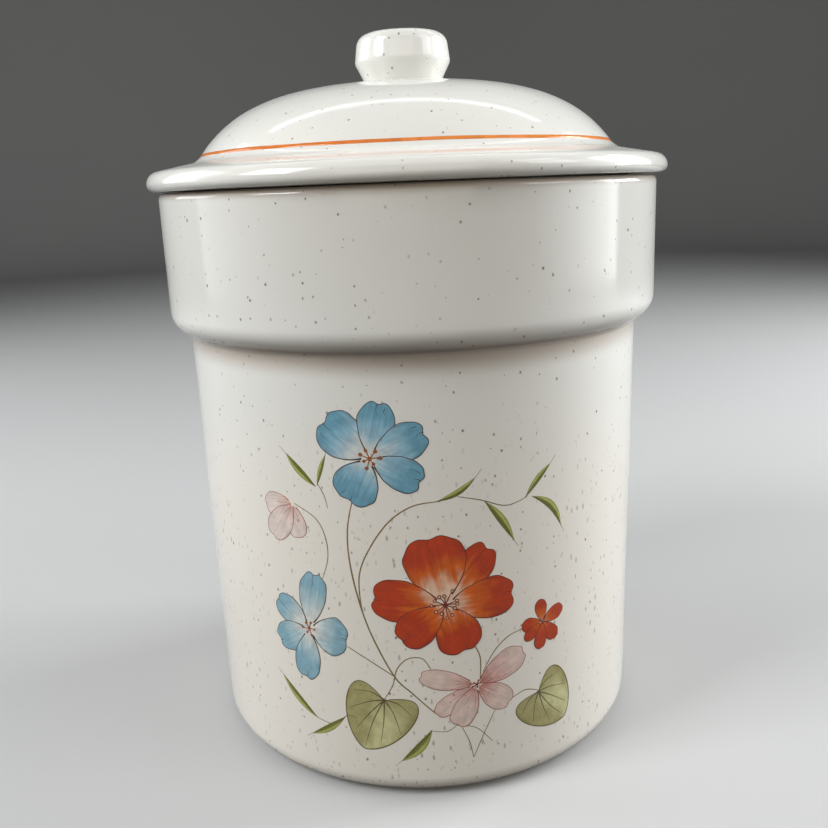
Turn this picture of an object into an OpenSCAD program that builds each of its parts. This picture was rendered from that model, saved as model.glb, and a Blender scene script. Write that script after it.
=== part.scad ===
// Stoneware food canister: a glazed jar with a wide collar, a domed stopper lid with a hollow knob
// and a soft seal, and a floral spray fired onto the front of the jar in thin enamel.
// Millimetres. +Z is up, the front of the jar faces -Y, and the origin is the middle of the foot.

/* [Jar] */
// Height of the jar from foot to rim
jar_h = 190.2; // [186:0.1:196]
// Outer radius of the wall just under the collar
wall_top_r = 78; // [76:0.1:79]
// Outer radius of the wall at the foot
wall_foot_r = 76.6; // [75:0.1:78]
// Thickness of the wall
wall_t = 5.5; // [4.5:0.1:6]
// Thickness of the floor
floor_t = 6; // [5:0.1:8]
// Outer radius of the collar
collar_r = 84.2; // [83.5:0.1:86]
// Height at which the collar meets the wall
collar_z = 144; // [130:0.5:148]
// Slope of the collar's underside
collar_slope = 28; // [20:1:40]
// Thickness of the collar's wall
collar_t = 5.6; // [5:0.1:6]

/* [Foot] */
// Height of the unglazed foot ring's outer step
foot_step = 0.8; // [0.5:0.1:1.5]
// Depth of the recess inside the foot ring
foot_recess = 3; // [2:0.1:4]
// Width of the foot ring
foot_ring_w = 6; // [4:0.5:9]
// Distance from the wall in to the foot ring
foot_inset = 7; // [6.5:0.5:9]

/* [Lid] */
// Gap between the rim and the flange of the closed lid
seat_gap = 0.1; // [0.1:0.05:1]
// Outer radius of the flange
flange_r = 87.5; // [86:0.1:89]
// Thickness of the flange at its edge
flange_t = 6.5; // [6:0.1:7]
// Slope of the flange's top
flange_slope = 11; // [6:1:14]
// Thickness of the dome
dome_t = 5; // [4:0.1:6]
// Depth of the skirt that drops into the mouth
skirt_h = 14; // [12:0.5:18]
// Outer radius of the skirt
skirt_r = 75.2; // [74:0.1:76]

/* [Knob] */
// Largest radius of the knob
knob_r = 16.3; // [14:0.1:20]
// Radius of the knob where it stands on the lid
knob_foot_r = 12.8; // [11.5:0.1:13]
// Height of the knob
knob_h = 17.3; // [16:0.1:20]
// Radius of the vent hole under the hollow knob
vent_r = 3; // [2:0.5:4]

/* [Seal] */
// Number of fins round the seal
seal_fins = 3; // [2:1:3]
// Clearance between the fins and the mouth of the jar
fin_clearance = 0.3; // [0.2:0.05:0.5]

/* [Decoration] */
// Thickness of the fired enamel
enamel_t = 0.12; // [0.1:0.01:0.2]
// Width of the painted stems
stem_w = 0.6; // [0.5:0.1:1]
// Width of the band round the foot of the dome
band_w = 1.3; // [1:0.1:1.4]

/* [Hidden] */

turned_fn = 180;    // facets drawn round the axis
arc_step = 9;       // degrees in one step of a rounded corner
enamel_gap = 0.02;  // clearance between the enamel and the glaze under it
joint_gap = 0.1;    // running clearance between the seal and its groove

stoneware = "#e6e1d6";
seal_white = "#e9eae6";
band_orange = "#d9752e";
petal_blue = "#6f9fc4";
petal_orange = "#b83a12";
petal_pink = "#d8aeb3";
leaf_green = "#8b9355";
stem_brown = "#7d6a45";

// --- Turned profiles -----------------------------------------------------------------------------

function unit(v) = v / norm(v);

// The arc of radius rad that rounds corner p between its neighbours a and b.
function corner(a, p, b, rad) =
    rad <= 0 ? [p] :
    let (
        u = unit(a - p),
        w = unit(b - p),
        half = acos(u * w) / 2,
        c = p + unit(u + w) * rad / sin(half),
        p0 = p + u * rad / tan(half),
        p1 = p + w * rad / tan(half),
        from = atan2(p0.y - c.y, p0.x - c.x),
        turn = ((atan2(p1.y - c.y, p1.x - c.x) - from + 540) % 360) - 180,
        n = max(3, ceil(abs(turn) / arc_step))
    )
    [for (i = [0:n]) c + rad * [cos(from + turn * i / n), sin(from + turn * i / n)]];

// An outline from corners [r, z, rounding radius].
function rounded(path) = [
    for (i = [0:len(path) - 1])
        let (a = path[(i + len(path) - 1) % len(path)], p = path[i], b = path[(i + 1) % len(path)])
            each corner([a.x, a.y], [p.x, p.y], [b.x, b.y], p.z)
];

module turned(path) {
    rotate_extrude($fn = turned_fn) polygon(rounded(path));
}

// --- Jar -----------------------------------------------------------------------------------------

mouth_r = collar_r - collar_t;
floor_z = foot_recess + floor_t;
foot_r = wall_foot_r - foot_inset;
ledge_z = collar_z + 4;

// Outer radius of the plain wall at height z.
function wall_r(z) = wall_foot_r + (wall_top_r - wall_foot_r) * (z - foot_step) / (collar_z - foot_step);

jar_path = [
    [0, floor_z, 0],
    [wall_foot_r - wall_t, floor_z, 8],
    [wall_top_r - wall_t, ledge_z, 4],
    [mouth_r, ledge_z + (mouth_r - wall_top_r + wall_t) * tan(collar_slope), 5],
    [mouth_r, jar_h, 1.6],
    [collar_r, jar_h, 2.2],
    [collar_r, collar_z + (collar_r - wall_top_r) * tan(collar_slope), 7.3],
    [wall_top_r, collar_z, 2],
    [wall_foot_r, foot_step, 6.8],
    [foot_r, foot_step, 0],
    [foot_r - 0.3, 0, 0.4],
    [foot_r - foot_ring_w, 0, 0.8],
    [foot_r - foot_ring_w - 1.5, foot_recess, 2],
    [0, foot_recess, 0]
];

module canister_body() {
    color(stoneware) turned(jar_path);
}

// --- Lid -----------------------------------------------------------------------------------------

flange_z = jar_h + seat_gap;
crown_h = 32.1;     // height of the dome's top over the flange's underside
crown_z = flange_z + crown_h;
skirt_z = flange_z - skirt_h;

// The dome is a squared ellipse about the axis: radii, height of its middle, and the power.
dome_a = flange_r - 5.6;
dome_b = 89.5;
dome_mid_z = crown_z - dome_b;
dome_power = 3.27;

function dome_point(t, inset = 0) = [
    (dome_a - inset) * pow(cos(t), 2 / dome_power),
    dome_mid_z + (dome_b - inset) * pow(sin(t), 2 / dome_power)
];

dome_foot_t = 39.5; // angle at which the dome leaves the flange
dome_steps = 22;
skirt_in_t = 32;    // angle at which the inside of the dome meets the skirt

dome_outside = [
    for (i = [0:dome_steps])
        let (q = dome_point(dome_foot_t + (87 - dome_foot_t) * pow(i / dome_steps, 0.9))) [q.x, q.y, 0]
];
dome_inside = [
    for (i = [0:dome_steps])
        let (q = dome_point(87 - (87 - skirt_in_t) * i / dome_steps, dome_t)) [q.x, q.y, 0]
];

groove_low = skirt_z + 4.2;
groove_high = groove_low + 6;
groove_r = skirt_r - 1.6;
flange_edge = 3.3;  // width of the flange's rounded edge
flange_top_z = flange_z + flange_t;
dome_foot = dome_point(dome_foot_t - 4);

lid_path = concat(
    [[vent_r, crown_z - dome_t, 0]],
    dome_inside,
    [
        [dome_inside[dome_steps].x + 0.1, skirt_z, 1],
        [skirt_r, skirt_z, 1.2],
        [skirt_r, groove_low, 0],
        [groove_r, groove_low, 0],
        [groove_r, groove_high, 0],
        [skirt_r, groove_high, 0],
        [skirt_r, flange_z, 0.8],
        [flange_r, flange_z, 2.4],
        [flange_r, flange_top_z - flange_edge * tan(flange_slope), 4.2],
        [dome_foot.x, flange_top_z + (flange_r - flange_edge - dome_foot.x) * tan(flange_slope), 3.5]
    ],
    dome_outside,
    [[vent_r, crown_z, 0]]
);

module lid() {
    color(stoneware) turned(lid_path);
}

// --- Knob ----------------------------------------------------------------------------------------

knob_wall = 4.2;
belly_z = crown_z + 7.1;
shoulder_in = 1.2;  // how far the knob narrows from its belly to its shoulder
knob_top_z = crown_z + knob_h;

knob_path = [
    [knob_foot_r - 3.6, crown_z, 0],
    [knob_foot_r, crown_z, 0],
    [knob_r, belly_z, 3],
    [knob_r - shoulder_in, knob_top_z - 1.1, 4.4],
    [0, knob_top_z, 0],
    [0, knob_top_z - knob_wall, 0],
    [knob_r - knob_wall - shoulder_in, knob_top_z - knob_wall - 1, 2],
    [knob_r - knob_wall, belly_z, 1.5]
];

module lid_knob() {
    color(stoneware) turned(knob_path);
}

// --- Seal ----------------------------------------------------------------------------------------

seal_in_r = groove_r + joint_gap;
seal_low = groove_low + 0.3;
seal_high = groove_high - 0.3;
seal_web_r = skirt_r + 0.5;
fin_r = mouth_r - fin_clearance;
fin_pitch = (seal_high - seal_low) / seal_fins;
fin_root = 1.1;
fin_tip = 0.6;
fin_rise = 0.5;

seal_path = concat(
    [[seal_in_r, seal_high, 0.2], [seal_in_r, seal_low, 0.2]],
    [
        for (i = [0:seal_fins - 1])
            let (z = seal_low + 0.3 + i * fin_pitch)
                each [
                    [seal_web_r, z, 0],
                    [fin_r, z + fin_rise, 0],
                    [fin_r, z + fin_rise + fin_tip, 0],
                    [seal_web_r, z + fin_root, 0]
                ]
    ],
    [[seal_web_r, seal_high, 0.2]]
);

module lid_seal() {
    color(seal_white) turned(seal_path);
}

// --- Band round the foot of the dome ---------------------------------------------------------------

module lid_band() {
    low = [dome_outside[0].x, dome_outside[0].y];
    along = unit([dome_outside[1].x, dome_outside[1].y] - low);
    out = [along.y, -along.x];
    start = low + out * enamel_gap + along * 0.1;
    color(band_orange)
        rotate_extrude($fn = turned_fn)
            polygon([start, start + out * enamel_t, start + out * enamel_t + along * band_w,
                start + along * band_w]);
}

// --- Enamel on the front of the jar ----------------------------------------------------------------
// Motifs are laid out on the unrolled wall: s runs round it to the right from the front, z is height.

enamel_low = 12;
enamel_high = 134;
wall_mid_r = wall_r((enamel_low + enamel_high) / 2);

// The thin shell of enamel that every motif is cut from.
module enamel_skin() {
    low_r = wall_r(enamel_low) + enamel_gap;
    high_r = wall_r(enamel_high) + enamel_gap;
    rotate_extrude($fn = turned_fn)
        polygon([[low_r, enamel_low], [low_r + enamel_t, enamel_low],
            [high_r + enamel_t, enamel_high], [high_r, enamel_high]]);
}

// An outline on the unrolled wall as seen straight from the front.
function seen(outline) = [for (p = outline) [wall_mid_r * sin(p.x / wall_mid_r * 180 / PI), p.y]];

// Cuts the outlines from the skin, as one motif.
module motif(outlines) {
    intersection() {
        enamel_skin();
        rotate([90, 0, 0])
            linear_extrude(height = collar_r)
                for (outline = outlines) polygon(seen(outline));
    }
}

petal_steps = 22;

// Places the local outline [along, across] at c, turned by angle.
function placed(outline, c, angle) = [
    for (p = outline) c + [p.x * cos(angle) - p.y * sin(angle), p.x * sin(angle) + p.y * cos(angle)]
];

// A petal from near c, with its widest part at two thirds of its length.
function petal(c, angle, length, half_w) = placed([
    for (i = [0:petal_steps - 1])
        let (t = 360 * i / petal_steps, u = (1 - cos(t)) / 2)
            [length * (0.05 + 0.95 * u), half_w * 1.22 * sin(t) * pow(u, 0.35)]
], c, angle);

// A pointed blade from a to b, bowed sideways.
function blade(a, b, half_w, bow) =
    let (d = b - a, length = norm(d), n = petal_steps / 2)
    placed(concat(
        [for (i = [0:n]) let (t = 180 * i / n) [length * i / n, (bow + half_w) * sin(t)]],
        [for (i = [n - 1:-1:1]) let (t = 180 * i / n) [length * i / n, (bow - half_w) * sin(t)]]
    ), a, atan2(d.y, d.x));

// A heart-shaped leaf: c is the notch where its stalk joins, and angle points to the tip.
function heart(c, angle, length, half_w) = placed([
    for (i = [0:petal_steps - 1])
        let (t = 360 * i / petal_steps, u = (1 - cos(t)) / 2, taper = pow(1 - u, 0.6) * sign(180 - t))
            [length * (pow(u, 1.6) - 0.7 * sqrt(u) * pow(1 - u, 2)), half_w * 2.1 * sqrt(u) * taper]
], c, angle);

// A point of the smooth curve through p1 and p2, with neighbours p0 and p3.
function smooth_at(p0, p1, p2, p3, t) =
    0.5 * (2 * p1 + (p2 - p0) * t + (2 * p0 - 5 * p1 + 4 * p2 - p3) * t * t
        + (3 * p1 - p0 - 3 * p2 + p3) * t * t * t);

function smooth(path, n = 4) =
    let (last = len(path) - 1)
    concat(
        [
            for (i = [0:last - 1])
                for (k = [0:n - 1])
                    smooth_at(path[max(i - 1, 0)], path[i], path[i + 1], path[min(i + 2, last)], k / n)
        ],
        [path[last]]
    );

// A painted line of one width along the smooth curve through a path.
function ribbon(path, width) =
    let (
        q = smooth(path),
        last = len(q) - 1,
        side = [
            for (i = [0:last])
                let (d = unit(q[min(i + 1, last)] - q[max(i - 1, 0)])) [-d.y, d.x] * width / 2
        ]
    )
    concat([for (i = [0:last]) q[i] + side[i]], [for (i = [last:-1:0]) q[i] - side[i]]);

// Each petal is [angle, length, half width] about the flower's middle.
large_blue_c = [-14, 114];
large_blue_petals = [[142, 18, 7.2], [78, 17.5, 5.4], [25, 18.5, 5.6], [-27, 17, 5.2], [-119, 15.5, 7]];
small_blue_c = [-37.5, 57];
small_blue_petals = [[80, 20, 4.8], [146, 14.5, 4.6], [209, 14.5, 5], [262, 18.5, 4.7], [-10, 13.5, 6.6]];
large_orange_c = [6.5, 67.5];
large_orange_petals = [[101, 23, 9.4], [52, 22.5, 6], [3, 22, 6.8], [-70, 17.5, 7.2], [-140, 18.5, 6],
    [173, 23, 6.8]];
small_orange_c = [38.5, 55.8];
small_orange_petals = [[97, 8, 2.2], [22, 8.6, 2.5], [-52, 8.6, 2.5], [-98, 9.2, 2.2], [178, 7.6, 2.4],
    [215, 8, 2]];
pink_c = [15.5, 39.5];
pink_petals = [[28, 18.5, 4.6], [-38, 14, 4.4], [-115, 15.5, 4], [-145, 16, 3.2], [166, 18.5, 3.4]];
bud_c = [-40, 98];
bud_petals = [[190, 11.5, 4], [232, 15, 4.6], [275, 11, 3.6]];

module flower(c, petals, shade) {
    color(shade) motif([for (p = petals) petal(c, p[0], p[1], p[2])]);
}

module large_blue_flower() {
    flower(large_blue_c, large_blue_petals, petal_blue);
}

module small_blue_flower() {
    flower(small_blue_c, small_blue_petals, petal_blue);
}

module large_orange_flower() {
    flower(large_orange_c, large_orange_petals, petal_orange);
}

module small_orange_flower() {
    flower(small_orange_c, small_orange_petals, petal_orange);
}

module pink_flower() {
    flower(pink_c, pink_petals, petal_pink);
}

module pink_bud() {
    flower(bud_c, bud_petals, petal_pink);
}

module left_broad_leaf() {
    color(leaf_green) motif([heart([-13.5, 35.6], -112, 19.5, 11.6)]);
}

module right_broad_leaf() {
    color(leaf_green) motif([heart([36.8, 31.8], -50, 17, 10.5)]);
}

narrow_leaf_blades = [
    blade([-31.5, 104.5], [-41.5, 114], 1.3, 0.5), blade([-30.9, 105.6], [-28.6, 113.6], 0.8, 0.3),
    blade([5, 100.6], [16, 106.2], 1, -1), blade([19.6, 98.6], [28, 86], 1.4, 0.8),
    blade([33, 99], [41, 107], 1.1, 0.5), blade([35.5, 98.2], [45.5, 87], 1.4, 2.2),
    blade([-37.5, 26], [-50, 37], 1.4, 0.8), blade([-27.5, 27.6], [-39, 19], 1.3, 0.8),
    blade([1, 25], [-8.5, 15], 1.7, 1.2)
];

module narrow_leaves() {
    color(leaf_green) motif(narrow_leaf_blades);
}

stem_paths = [
    [[-20.7, 98.6], [-22, 92], [-22, 82], [-20, 70], [-16.5, 58], [-10, 44], [-4.5, 38], [1, 32]],
    [[4, 100.4], [-2, 99.5], [-9, 95], [-15, 87], [-19, 78], [-19, 68]],
    [[11.8, 100.5], [18, 99.8], [26, 97], [32, 98.2]],
    [[-36.5, 97.5], [-32.5, 94.5], [-29.5, 89], [-29, 82], [-31, 76]],
    [[-23, 52.2], [-17, 48.6], [-10.5, 44.5]],
    [[-12, 37], [-10.5, 41], [-9, 46.5], [-5.5, 50], [-1, 49.9], [0.8, 47.2]],
    [[15.8, 52], [16.8, 48.6], [16.8, 44]],
    [[30, 55.6], [26, 54], [21.4, 50], [19, 46.6]],
    [[35, 33.2], [32, 33.9], [29, 33.2]]
];

module stems() {
    color(stem_brown) motif([for (path = stem_paths) ribbon(path, stem_w)]);
}

canister_body();
lid();
lid_knob();
lid_seal();
lid_band();
large_blue_flower();
small_blue_flower();
large_orange_flower();
small_orange_flower();
pink_flower();
pink_bud();
left_broad_leaf();
right_broad_leaf();
narrow_leaves();
stems();
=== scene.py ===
import math

import bmesh
import bpy
from mathutils import Matrix, Vector, noise


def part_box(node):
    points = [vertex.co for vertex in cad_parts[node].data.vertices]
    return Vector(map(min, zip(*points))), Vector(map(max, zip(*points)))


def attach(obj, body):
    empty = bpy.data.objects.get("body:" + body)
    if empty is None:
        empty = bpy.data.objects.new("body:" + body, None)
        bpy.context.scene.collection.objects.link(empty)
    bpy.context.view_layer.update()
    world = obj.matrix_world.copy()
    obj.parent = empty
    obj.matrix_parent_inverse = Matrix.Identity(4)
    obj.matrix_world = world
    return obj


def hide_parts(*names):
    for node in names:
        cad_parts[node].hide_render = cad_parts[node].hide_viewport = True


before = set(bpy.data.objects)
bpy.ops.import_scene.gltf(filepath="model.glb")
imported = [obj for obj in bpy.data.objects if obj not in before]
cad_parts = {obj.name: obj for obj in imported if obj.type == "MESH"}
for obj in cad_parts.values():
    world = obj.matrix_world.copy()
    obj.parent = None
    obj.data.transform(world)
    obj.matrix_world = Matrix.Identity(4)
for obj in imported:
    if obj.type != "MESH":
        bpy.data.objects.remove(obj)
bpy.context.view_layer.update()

MM = 0.001

# --- Measures, from the CAD nodes' boxes and the same proportions as the CAD source -----------------

RIM_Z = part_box("canister_body")[1].z / MM
COLLAR_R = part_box("canister_body")[1].x / MM
SEAT_GAP = 0.1
FLANGE_Z = RIM_Z + SEAT_GAP
FLANGE_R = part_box("lid")[1].x / MM
KNOB_LOW_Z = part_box("lid_knob")[0].z / MM
KNOB_TOP_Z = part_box("lid_knob")[1].z / MM

WALL_TOP_R = 78.0    # the plain wall narrows a little from here
WALL_FOOT_R = 76.6   # down to here
WALL_T = 5.5
COLLAR_Z = 144.0     # where the collar meets the plain wall
COLLAR_T = 5.6
COLLAR_SLOPE = math.tan(math.radians(28))
FOOT_STEP = 0.8      # how far the wall ends above what the jar stands on
FOOT_INSET = 7.0     # from the wall in to the foot ring
FOOT_RING_W = 6.0
FOOT_RECESS = 3.0    # how far the bottom lies above the foot ring's face
FLOOR_Z = FOOT_RECESS + 6.0   # the floor inside

FLANGE_T = 6.5
FLANGE_EDGE = 3.3    # how far in from its edge the flange's top begins to slope
FLANGE_SLOPE = math.tan(math.radians(11))
SKIRT_R = 75.2       # the skirt hangs under the flange and holds the seal
SKIRT_H = 14.0
SEAL_GROOVE = (4.2, 10.2)   # low and high side of the groove, above the skirt's end
SEAL_GROOVE_DEPTH = 1.6
VENT_R = 3.0

DOME_A = FLANGE_R - 5.6     # half axes of the dome's superellipse
DOME_B = 89.5
DOME_POWER = 3.27
DOME_MID_Z = KNOB_LOW_Z - DOME_B
DOME_T = 5.0                # its thickness
DOME_FOOT_T = 39.5          # angle in degrees at which the dome rises from the flange

BAND_W = 1.25

SEGMENTS = 288       # round the axis
ENAMEL_EDGE = -0.02  # where a painted shape meets the glaze, in mm from the wall
PAINT_LOW = 12.0     # the painted part of the wall, from here
PAINT_HIGH = 134.0   # up to here


# --- Profiles and turned solids ------------------------------------------------------------------------

def corner(a, p, b, radius, step=5.0):
    """Points of the arc that rounds corner p between its neighbours a and b."""
    if radius <= 0:
        return [p]
    u = (a - p).normalized()
    w = (b - p).normalized()
    half = u.angle(w) / 2
    centre = p + (u + w).normalized() * radius / math.sin(half)
    first = p + u * radius / math.tan(half) - centre
    last = p + w * radius / math.tan(half) - centre
    start = math.atan2(first.y, first.x)
    turn = (math.atan2(last.y, last.x) - start + 3 * math.pi) % (2 * math.pi) - math.pi
    n = max(3, math.ceil(math.degrees(abs(turn)) / step))
    angles = [start + turn * i / n for i in range(n + 1)]
    return [centre + radius * Vector((math.cos(t), math.sin(t))) for t in angles]


def rounded(path):
    """A profile of (r, z) points from corners (r, z, rounding radius)."""
    places = [Vector(c[:2]) for c in path]
    points = []
    for i, c in enumerate(path):
        points += corner(places[i - 1], places[i], places[(i + 1) % len(path)], c[2])
    return points


def fine(points, closed, pitch=3.0):
    """The profile with extra points, so that no step is longer than pitch."""
    out = []
    for i, p in enumerate(points):
        out.append(p)
        if not closed and i == len(points) - 1:
            break
        q = points[(i + 1) % len(points)]
        n = math.ceil((q - p).length / pitch)
        out += [p.lerp(q, k / n) for k in range(1, n)]
    return out


def dip(p):
    """How far the glaze lies under the true turned shape at p: the unevenness of hand-finished ware."""
    broad = 0.13 * (1 + noise.noise(p * 0.021))
    small = 0.025 * (1 + noise.noise(p * 0.083 + Vector((9, 4, 2))))
    flat_foot = min(1.0, max(0.0, (p.z - 1.0) / 5.0))   # nothing at the foot, so that the jar stands flat
    return (broad + small) * flat_foot


def turned(profile, closed):
    """Vertices and faces of the solid that a profile turns into, with the glaze's unevenness."""
    n = len(profile)
    area = sum(profile[i - 1].cross(profile[i]) for i in range(n))
    side = 1 if area > 0 else -1
    verts, rings, faces = [], [], []
    for i, p in enumerate(profile):
        before = profile[i - 1] if closed or i > 0 else p
        after = profile[(i + 1) % n] if closed or i < n - 1 else p
        along = (after - before).normalized()
        out = Vector((along.y, -along.x)) * side
        ring = []
        for k in range(SEGMENTS if p.x > 1e-6 else 1):
            a = 2 * math.pi * k / SEGMENTS
            true = Vector((p.x * math.sin(a), -p.x * math.cos(a), p.y))
            normal = Vector((out.x * math.sin(a), -out.x * math.cos(a), out.y))
            if p.x <= 1e-6:
                normal = Vector((0, 0, math.copysign(1, out.y)))
            ring.append(len(verts))
            verts.append(true - normal * dip(true))
        rings.append(ring)
    pairs = list(zip(rings, rings[1:])) + ([(rings[-1], rings[0])] if closed else [])
    for low, high in pairs:
        if len(low) == len(high) == 1:
            continue
        for k in range(SEGMENTS):
            m = (k + 1) % SEGMENTS
            if len(low) == 1:
                faces.append((low[0], high[k], high[m]))
            elif len(high) == 1:
                faces.append((low[k], high[0], low[m]))
            else:
                faces.append((low[k], high[k], high[m], low[m]))
    return verts, faces


def piece(name, verts, faces, body, material, replaces=(), paint=None, sharp=40):
    """Makes a mesh object from millimetres and puts it on its CAD body.
    paint is one vector for each point."""
    mesh = bpy.data.meshes.new(name)
    mesh.from_pydata([v * MM for v in verts], [], faces)
    if paint:
        layer = mesh.attributes.new("paint", "FLOAT_VECTOR", "POINT")
        layer.data.foreach_set("vector", [x for p in paint for x in p])
    work = bmesh.new()
    work.from_mesh(mesh)
    bmesh.ops.recalc_face_normals(work, faces=work.faces)
    work.to_mesh(mesh)
    work.free()
    mesh.shade_smooth()
    mesh.set_sharp_from_angle(angle=math.radians(sharp))
    mesh.materials.append(material)
    obj = bpy.data.objects.new(name, mesh)
    bpy.context.scene.collection.objects.link(obj)
    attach(obj, body)
    if replaces:
        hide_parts(*replaces)
    return obj


# --- Materials ------------------------------------------------------------------------------------------

def node(tree, kind, inputs=None, **settings):
    """Adds a node. inputs are socket values or other sockets to link from."""
    made = tree.nodes.new(kind)
    for key, value in settings.items():
        setattr(made, key, value)
    for key, value in (inputs or {}).items():
        if isinstance(value, bpy.types.NodeSocket):
            tree.links.new(value, made.inputs[key])
        else:
            made.inputs[key].default_value = value
    return made


def mixed(tree, factor, a, b, blend="MIX"):
    """A colour between colours a and b."""
    sockets = {0: factor, 6: a, 7: b}   # 6 and 7 are the node's two colours, and 2 its resulting colour
    return node(tree, "ShaderNodeMix", sockets, data_type="RGBA", blend_type=blend).outputs[2]


def maths(tree, operation, a, b=0.0):
    """The result of a maths operation on a and b."""
    return node(tree, "ShaderNodeMath", {0: a, 1: b}, operation=operation).outputs[0]


def ranged(tree, value, low, high, to_low=0.0, to_high=1.0):
    """value taken smoothly from low..high to to_low..to_high."""
    sockets = {"Value": value, "From Min": low, "From Max": high, "To Min": to_low, "To Max": to_high}
    return node(tree, "ShaderNodeMapRange", sockets, interpolation_type="SMOOTHSTEP").outputs[0]


def noisy(tree, where, scale, detail=2.0):
    """Cloudy noise from 0 to 1, with about scale clouds to the metre."""
    sockets = {"Vector": where, "Scale": scale, "Detail": detail}
    return node(tree, "ShaderNodeTexNoise", sockets).outputs[0]


def start_material(name, ior=1.5):
    """A new material: its tree, its shader and the object's own coordinates."""
    material = bpy.data.materials.new(name)
    material.use_nodes = True
    tree = material.node_tree
    shader = tree.nodes["Principled BSDF"]
    shader.inputs["IOR"].default_value = ior
    where = node(tree, "ShaderNodeTexCoord").outputs["Object"]
    return material, tree, shader, where


SPECK_CELL, SPECK_SIZE = 2.8, 0.54   # mm from speck to speck, and across the largest
SPECK_STRETCH = 0.8     # the pattern's scale in height: below 1 it draws specks out upwards
SPECK_RAG = 0.45        # mm by which a speck's edge is shaken
RAG_SCALE = 1400.0      # clouds to the metre in the noise that shakes it
STREAK_CELL, STREAK_SIZE, STREAK_STRETCH = 1.9, 0.58, 0.42   # the same for the faint streaks
STREAK_TOP_Z = 136.0    # mm: the streaks thin out from here
STREAK_FULL_Z = 80.0    # mm: down to here

GLAZE_CREAM = (0.76, 0.745, 0.695, 1)
GLAZE_COOL = (0.76, 0.765, 0.74, 1)
WALL_PAINTED_LIGHT = (0.83, 0.785, 0.71, 1)   # painted light: the plain wall is painted a little lighter and creamier than the collar and the lid
SPECK_DARK = (0.125, 0.085, 0.05, 1)
STREAK_GREY = (0.30, 0.27, 0.21, 1)
PAINTED_SHADE_BROWN = (0.30, 0.20, 0.125, 1)   # painted shade: brown shadow in the throat under the collar and on the rim under the lid's flange


def specks(tree, where, cell_mm, size_mm, stretch=1.0):
    """A mask of scattered, ragged iron specks, each with its own size and strength."""
    ragged = node(tree, "ShaderNodeTexNoise", {"Vector": where, "Scale": RAG_SCALE, "Detail": 1.0})
    sockets = {0: ragged.outputs["Color"], 1: (SPECK_RAG * MM,) * 3, 2: where}
    shaken = node(tree, "ShaderNodeVectorMath", sockets, operation="MULTIPLY_ADD").outputs[0]
    scaled = node(tree, "ShaderNodeMapping", {"Vector": shaken, "Scale": (1, 1, stretch)}).outputs[0]
    cells = node(tree, "ShaderNodeTexVoronoi", {"Vector": scaled, "Scale": 1 / (cell_mm * MM)})
    random = node(tree, "ShaderNodeSeparateColor", {"Color": cells.outputs["Color"]})
    radius = ranged(tree, random.outputs[0], 0.0, 1.0, 0.4 * size_mm / cell_mm, size_mm / cell_mm)
    inner = maths(tree, "MULTIPLY", radius, 0.4)
    spot = ranged(tree, cells.outputs["Distance"], inner, radius, 1.0, 0.0)
    return maths(tree, "MULTIPLY", spot, ranged(tree, random.outputs[1], 0.0, 0.8, 0.3, 1.0))


def near_height(tree, height, low_mm, middle_mm, high_mm):
    """A mask that rises from low to middle and falls again to high, all in millimetres."""
    rise = ranged(tree, height, low_mm * MM, middle_mm * MM)
    fall = ranged(tree, height, middle_mm * MM, high_mm * MM, 1.0, 0.0)
    return maths(tree, "MULTIPLY", rise, fall)


def glaze_colour(tree, where):
    """The speckled cream colour with painted shade under the collar and on the rim, and the mask of the dark
    specks.
    """
    height = node(tree, "ShaderNodeSeparateXYZ", {0: where}).outputs[2]
    tone = mixed(tree, noisy(tree, where, 14, 1), GLAZE_CREAM, GLAZE_COOL)
    below = ranged(tree, height, STREAK_FULL_Z * MM, STREAK_TOP_Z * MM, 1.0, 0.0)
    # Painted light: lower down, the plain wall is made lighter and creamier.
    tone = mixed(tree, maths(tree, "MULTIPLY", below, 0.75), tone, WALL_PAINTED_LIGHT)
    # Painted shade: the glaze turns brown just under the collar and at the top of the rim, where the collar
    # and the lid's flange cast shadow.
    collar_shade = near_height(tree, height, COLLAR_Z - 8, COLLAR_Z - 0.5, COLLAR_Z + 6)
    rim = near_height(tree, height, RIM_Z - 3.2, RIM_Z - 0.3, RIM_Z + 0.1)
    thin = maths(tree, "MULTIPLY", maths(tree, "MAXIMUM", collar_shade, rim), 0.6)
    tone = mixed(tree, thin, tone, PAINTED_SHADE_BROWN)
    streaks = specks(tree, where, STREAK_CELL, STREAK_SIZE, STREAK_STRETCH)
    patchy = ranged(tree, noisy(tree, where, 45, 1), 0.35, 0.6, 0.3, 1.0)
    faint = maths(tree, "MULTIPLY", maths(tree, "MULTIPLY", streaks, below), patchy)
    tone = mixed(tree, maths(tree, "MULTIPLY", faint, 0.75), tone, STREAK_GREY)
    dark = specks(tree, where, SPECK_CELL, SPECK_SIZE, SPECK_STRETCH)
    return mixed(tree, maths(tree, "MULTIPLY", dark, 0.85), tone, SPECK_DARK), dark


def glaze_surface(tree, shader, where, dark):
    """The glossy, slightly uneven skin that glaze and fired enamel share."""
    smear = noisy(tree, where, 28, 3)
    tree.links.new(ranged(tree, smear, 0.3, 0.7, 0.07, 0.15), shader.inputs["Roughness"])
    peel = noisy(tree, where, 260, 2)
    height = maths(tree, "SUBTRACT", peel, maths(tree, "MULTIPLY", dark, 0.5))
    sockets = {"Height": height, "Strength": 0.22, "Distance": 0.0001}
    bump = node(tree, "ShaderNodeBump", sockets)
    tree.links.new(bump.outputs[0], shader.inputs["Normal"])


def glaze_material():
    """Glossy cream glaze with iron specks, all over the pottery."""
    material, tree, shader, where = start_material("speckled_glaze")
    colour, dark = glaze_colour(tree, where)
    tree.links.new(colour, shader.inputs["Base Color"])
    glaze_surface(tree, shader, where, dark)
    return material


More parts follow.
